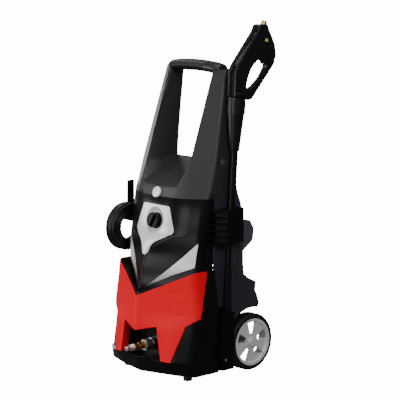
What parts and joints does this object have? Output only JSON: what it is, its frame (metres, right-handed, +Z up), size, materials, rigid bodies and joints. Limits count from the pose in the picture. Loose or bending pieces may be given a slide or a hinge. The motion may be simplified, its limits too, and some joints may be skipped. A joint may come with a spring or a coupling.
{
  "type": "pressure washer",
  "caption": "Upright electric pressure washer on two wheels with a tall handle, front water outlet, control knob, hanging power cord and a parked spray gun and lance.",
  "frame": {"origin": "on the floor, at the middle of the object's bounding box without its power cord", "axes": "+Z up; -Y is the front with the red cover and the outlet; +X is the side that carries the lance"},
  "size_m": [0.38, 0.493, 0.9873],
  "materials": {
    "black_satin": "satin",
    "black_plastic": "fine texture",
    "slate": "fine texture",
    "charcoal": "satin",
    "red": "gloss",
    "silver": "silver paint",
    "rubber": "soft",
    "tyre": "matt",
    "steel": "turned",
    "steel_paint": "satin",
    "steel_black": "satin black",
    "aluminium": "cast",
    "brass": "turned",
    "nickel": "nickel plate",
    "gun_black": "satin",
    "yellow": "gloss",
    "cord": "matt"
  },
  "bodies": {
    "body": {"base_pan": "black_plastic", "front_housing": "black_satin", "rear_housing": "slate", "red_front_cover": "red", "upper_front_cover": "black_satin", "control_panel": "silver", "panel_trim_left": "silver", "panel_trim_right": "silver", "badge_disc": "silver", "handle_front_shell": "charcoal", "handle_rear_shell": "charcoal", "handle_core": "steel", "handle_grip": "rubber", "rear_hose_hook": "slate", "cord_hook": "black_plastic", "lance_bracket": "black_plastic", "lance_pocket": "black_plastic", "wheel_axle": "steel", "rubber_feet": "rubber", "cover_screws": "steel", "water_inlet": "brass", "outlet_adaptor": "brass", "outlet_nut": "nickel", "outlet_nipple": "nickel", "switch_box": "black_plastic", "capacitor": "aluminium", "motor_can": "steel_paint", "motor_end_cap": "aluminium", "motor_bracket": "steel_paint", "pump_housing": "aluminium", "pump_head": "aluminium", "pump_pistons": "steel", "inlet_pipe": "black_plastic", "outlet_pipe": "steel", "cord_gland": "rubber", "power_cord": "cord", "power_cord_coil": "cord", "power_plug": "black_plastic"},
    "knob": {"power_knob": "black_plastic"},
    "wheel_left": {"wheel_left_tyre": "tyre", "wheel_left_rim": "silver", "wheel_left_cap": "silver"},
    "wheel_right": {"wheel_right_tyre": "tyre", "wheel_right_rim": "silver", "wheel_right_cap": "silver"},
    "rotor": {"rotor_shaft": "steel", "cooling_fan": "black_plastic", "swash_plate": "steel"},
    "gun": {"gun_shell_left": "gun_black", "gun_shell_right": "gun_black", "gun_screws": "steel", "gun_valve": "brass", "gun_inlet": "brass", "gun_collar": "gun_black", "lance_sleeve": "gun_black", "lance_tube": "steel_black", "trigger_pin": "steel"},
    "nozzle": {"nozzle": "gun_black"},
    "trigger": {"trigger": "gun_black"},
    "lock_button": {"lock_button": "yellow"}
  },
  "joints": [
    {"name": "power_knob_turn", "type": "hinge", "parent": "body", "child": "knob", "pos_m": [0, -0.134, 0.436], "axis": [0, 0.9781, -0.2079], "range_deg": [0, 90]},
    {"name": "wheel_left_spin", "type": "hinge", "parent": "body", "child": "wheel_left", "pos_m": [-0.146, 0.084, 0.0815], "axis": [1, 0, 0], "continuous": true},
    {"name": "wheel_right_spin", "type": "hinge", "parent": "body", "child": "wheel_right", "pos_m": [0.146, 0.084, 0.0815], "axis": [1, 0, 0], "continuous": true},
    {"name": "rotor_spin", "type": "hinge", "parent": "body", "child": "rotor", "pos_m": [0, -0.025, 0.29], "axis": [0, 0, 1], "continuous": true},
    {"name": "gun_lift", "type": "slide", "parent": "body", "child": "gun", "axis": [0, 0.0663, 0.9978], "range_m": [0, 0.5]},
    {"name": "nozzle_turn", "type": "hinge", "parent": "gun", "child": "nozzle", "pos_m": [0.165, -0.02835, 0.06491], "axis": [0, 0.0663, 0.9978], "range_deg": [0, 90]},
    {"name": "trigger_pull", "type": "hinge", "parent": "gun", "child": "trigger", "pos_m": [0.165, 0.10355, 0.90402], "axis": [-1, 0, 0], "range_deg": [0, 6], "stiffness_Nm_per_rad": 8},
    {"name": "lock_button_push", "type": "slide", "parent": "gun", "child": "lock_button", "axis": [1, 0, 0], "range_m": [-0.0015, 0.0015]}
  ]
}
